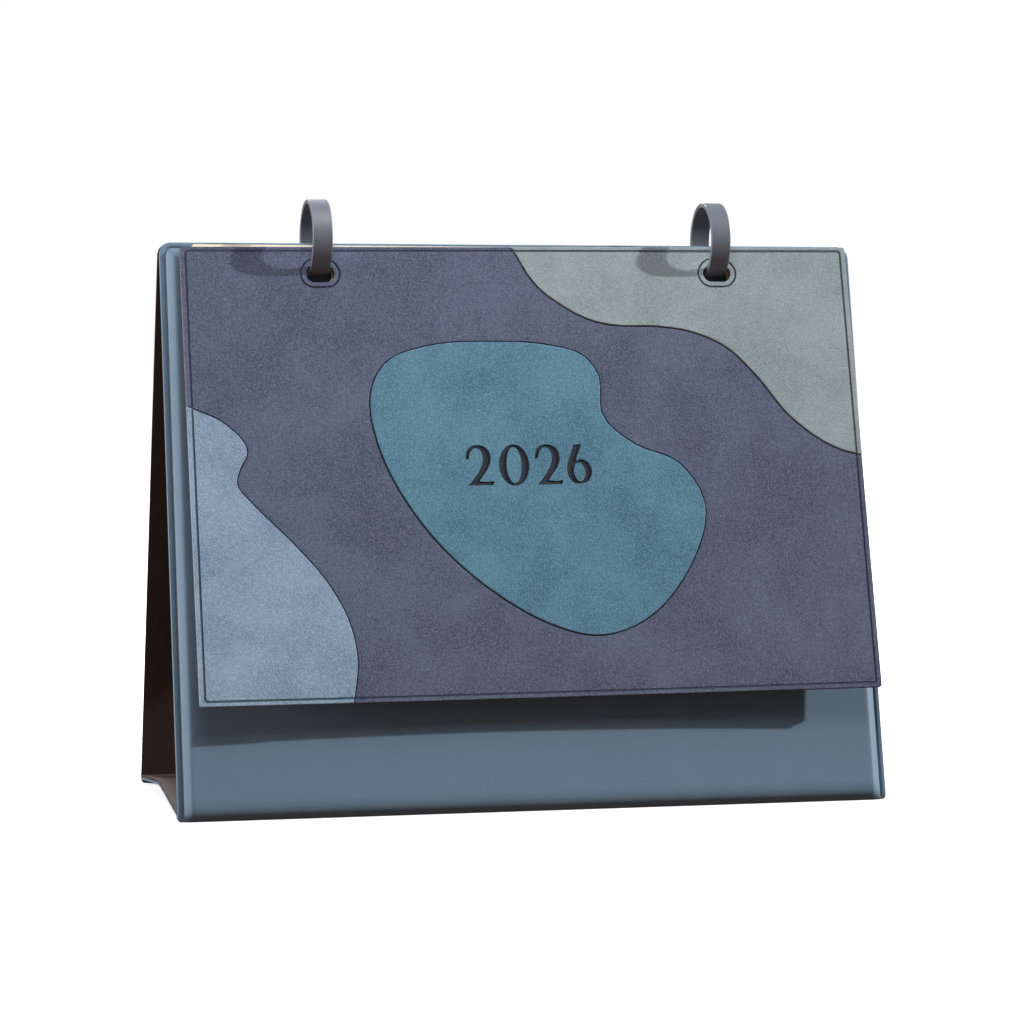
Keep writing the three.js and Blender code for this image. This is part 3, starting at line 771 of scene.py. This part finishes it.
def sheet_outline(radius=0.8):
    """A sheet's outline with slightly rounded corners."""
    half = PAGE_WIDTH / 2
    made = []
    for x, y, start in ((half - radius, radius, -90), (half - radius, PAGE_HEIGHT - radius, 0),
                        (radius - half, PAGE_HEIGHT - radius, 90), (radius - half, radius, 180)):
        for k in range(5):
            angle = math.radians(start + 90 * k / 4)
            made.append((x + radius * math.cos(angle), y + radius * math.sin(angle)))
    return made


def pages():
    """The calendar's sheets, each a thin solid of its own within one piece, knocked up a little unevenly."""
    whole = bmesh.new()
    length, height, drop = PAGE_HOLE
    loops = [sheet_outline()]
    loops += [stadium(side * HOLE_PITCH / 2, PAGE_HEIGHT - drop, length, height) for side in (-1, 1)]
    pitch = PAGE_STACK / SHEET_COUNT
    for k in range(SHEET_COUNT):
        low = k * pitch - PAGE_STACK
        sheet = prism(loops, low, low + SHEET_SHARE * pitch)
        # Edge faces take the sheet-edge material with its painted shade.
        for face in sheet.faces:
            face.material_index = 0 if abs(face.normal.z) > 0.5 else 1
        shift = Vector((random.uniform(-0.12, 0.12), random.uniform(-0.12, 0.04), 0))
        bmesh.ops.translate(sheet, verts=sheet.verts, vec=shift)
        add_mesh(whole, sheet)
    bmesh.ops.transform(whole, matrix=PAGES, verts=whole.verts)
    finish_piece(whole, "page_sheets", "easel", "page_paper", ["page_block"],
                 [MATERIALS["page_paper"], SHADED_PAGE_EDGES])


def flat_text(text, size, x, y):
    """A number as thin flat shapes, its middle on x and its foot on y."""
    curve = bpy.data.curves.new("number", "FONT")
    curve.body = text
    curve.size = size
    curve.align_x = "CENTER"
    curve.extrude = INK_THICKNESS / 2
    curve.resolution_u = 4
    return shape_of(curve, (x, y, INK_THICKNESS / 2))


def printed_month():
    """The first sheet's print: a number for the month, day numbers in seven columns and thin rules."""
    whole = bmesh.new()
    column, line, left, top = 30.0, 21.5, -105.0, 121.0
    rule_half, day_size, day_drop, month_size, month_rise = 0.15, 8.5, 10.0, 16.0, 6.0
    days, first_column = 31, 3
    for row in range(6):
        y = top - row * line
        bar = [(left, y - rule_half), (-left, y - rule_half), (-left, y + rule_half), (left, y + rule_half)]
        add_mesh(whole, prism([bar], 0, INK_THICKNESS))
    for day in range(days):
        row, place = divmod(day + first_column, 7)
        add_mesh(whole, flat_text(str(day + 1), day_size, left + column * (place + 0.5),
                                  top - line * row - day_drop))
    add_mesh(whole, flat_text("01", month_size, 0, top + month_rise))
    bmesh.ops.transform(whole, matrix=PAGES, verts=whole.verts)
    finish_piece(whole, "printed_month", "easel", "page_paper", [], [INK])


pages()
printed_month()

# CAD nodes that stay as they are get their materials
SLOTS = {part["node"]: part["material_slot"] for part in frame["record"]["subparts"]}
for node, shape in frame["nodes"].items():
    if not shape.hide_render:
        shape.data.materials.clear()
        shape.data.materials.append(MATERIALS[SLOTS[node]])

# Surroundings

scene = bpy.context.scene
scene.view_settings.view_transform = "Standard"
AMBIENT = 0.04
AMBIENT_COLOUR = (1, 0.62, 0.5, 1)
FLOOR_COLOUR = (0.9, 0.9, 0.9, 1)
FLOOR_BOUNCE = (0.18, 0.115, 0.09, 1)

# The camera: image size, focal length and picture centre in pixels, turns in degrees, place in millimetres
IMAGE = 1024
FOCAL = 3392.1
CENTRE = (510.6, 437.0)
AZIMUTH, ELEVATION, ROLL = -13.615, 2.395, 0.201
CAMERA_PLACE = (-288.2, -1191.79, 180.09)


def make_world():
    """White where the camera looks, and only a faint warm light on the object."""
    world = bpy.data.worlds.new("surroundings")
    scene.world = world
    world.use_nodes = True
    tree = world.node_tree
    tree.nodes.clear()
    path = put(tree, "ShaderNodeLightPath").outputs
    seen = calc(tree, "MAXIMUM", path["Is Camera Ray"], path["Is Transmission Ray"])
    seen = calc(tree, "MAXIMUM", seen, calc(tree, "MULTIPLY", path["Is Glossy Ray"], 0.35))
    strength = spread(tree, seen, 0.0, 1.0, AMBIENT, 1.0)
    colour = mix_colour(tree, seen, AMBIENT_COLOUR, (1, 1, 1, 1))
    back = put(tree, "ShaderNodeBackground", {"Color": colour, "Strength": strength})
    out = put(tree, "ShaderNodeOutputWorld")
    tree.links.new(back.outputs[0], out.inputs["Surface"])


def make_floor():
    """A pale floor that runs out into white, keeps the object's shadow and throws little light back."""
    mesh = bpy.data.meshes.new("floor")
    reach = 6.0
    corners = [(x * reach, y * reach, 0) for x, y in ((-1, -1), (1, -1), (1, 1), (-1, 1))]
    mesh.from_pydata(corners, [], [(0, 1, 2, 3)])
    floor = show("floor", mesh)
    floor.location.z = -0.0001
    material, tree, shader = new_material("pale floor", 0.95, Specular_IOR_Level=0.1)
    shader.inputs["Emission Color"].default_value = (1, 1, 1, 1)
    path = put(tree, "ShaderNodeLightPath").outputs
    tone = mix_colour(tree, path["Is Camera Ray"], FLOOR_BOUNCE, FLOOR_COLOUR)
    tree.links.new(tone, shader.inputs["Base Color"])
    place = put(tree, "ShaderNodeTexCoord").outputs["Object"]
    away = put(tree, "ShaderNodeVectorMath", {0: place}, operation="LENGTH").outputs["Value"]
    glow = calc(tree, "MULTIPLY", path["Is Camera Ray"], spread(tree, away, 0.16, 0.6, 0.6, 1.0))
    tree.links.new(glow, shader.inputs["Emission Strength"])
    mesh.materials.append(material)


def soft_light(name, towards, distance, size, power, colour=(1, 1, 1), aim=(0, 0, 0.1)):
    """A square lamp that lies in a direction from the calendar and faces it."""
    lamp = bpy.data.lights.new(name, "AREA")
    lamp.shape = "SQUARE"
    lamp.size = size
    lamp.energy = power
    lamp.color = colour
    holder = show(name, lamp)
    direction = Vector(towards).normalized()
    holder.location = Vector(aim) + direction * distance
    holder.rotation_mode = "QUATERNION"
    holder.rotation_quaternion = direction.to_track_quat("Z", "Y")


make_world()
make_floor()
soft_light("raking window", towards=(0.87, -0.18, 0.41), distance=4.5, size=0.07, power=352,
           colour=(1.0, 0.985, 0.96), aim=(0.1245, -0.0498, 0.0405))
soft_light("left window", towards=(-0.95, -0.01, 0.2), distance=2.2, size=0.8, power=62,
           colour=(1.0, 0.985, 0.95))
soft_light("rear window", towards=(-0.15, 0.75, 0.65), distance=2.2, size=0.8, power=40)
soft_light("ceiling", towards=(0, -0.45, 0.89), distance=0.52, size=0.42, power=2.6,
           aim=(-0.09, -0.02, 0.2))


def make_camera():
    """The camera at the photograph's viewing angle."""
    camera = bpy.data.cameras.new("camera")
    holder = show("camera", camera)
    camera.sensor_width = 36
    camera.lens = FOCAL / IMAGE * camera.sensor_width
    camera.shift_x = (IMAGE / 2 - CENTRE[0]) / IMAGE
    camera.shift_y = (CENTRE[1] - IMAGE / 2) / IMAGE
    camera.clip_start, camera.clip_end = 0.01, 50
    azimuth, elevation, roll = (math.radians(angle) for angle in (AZIMUTH, ELEVATION, ROLL))
    back = Vector((math.sin(azimuth) * math.cos(elevation), -math.cos(azimuth) * math.cos(elevation),
                   math.sin(elevation)))
    right = Vector((math.cos(azimuth), math.sin(azimuth), 0))
    up = back.cross(right)
    rolled = (math.cos(roll) * right + math.sin(roll) * up, -math.sin(roll) * right + math.cos(roll) * up)
    turn = Matrix((rolled[0], rolled[1], back)).transposed()
    holder.matrix_world = Matrix.Translation(Vector(CAMERA_PLACE) * MM) @ turn.to_4x4()
    scene.camera = holder


make_camera()
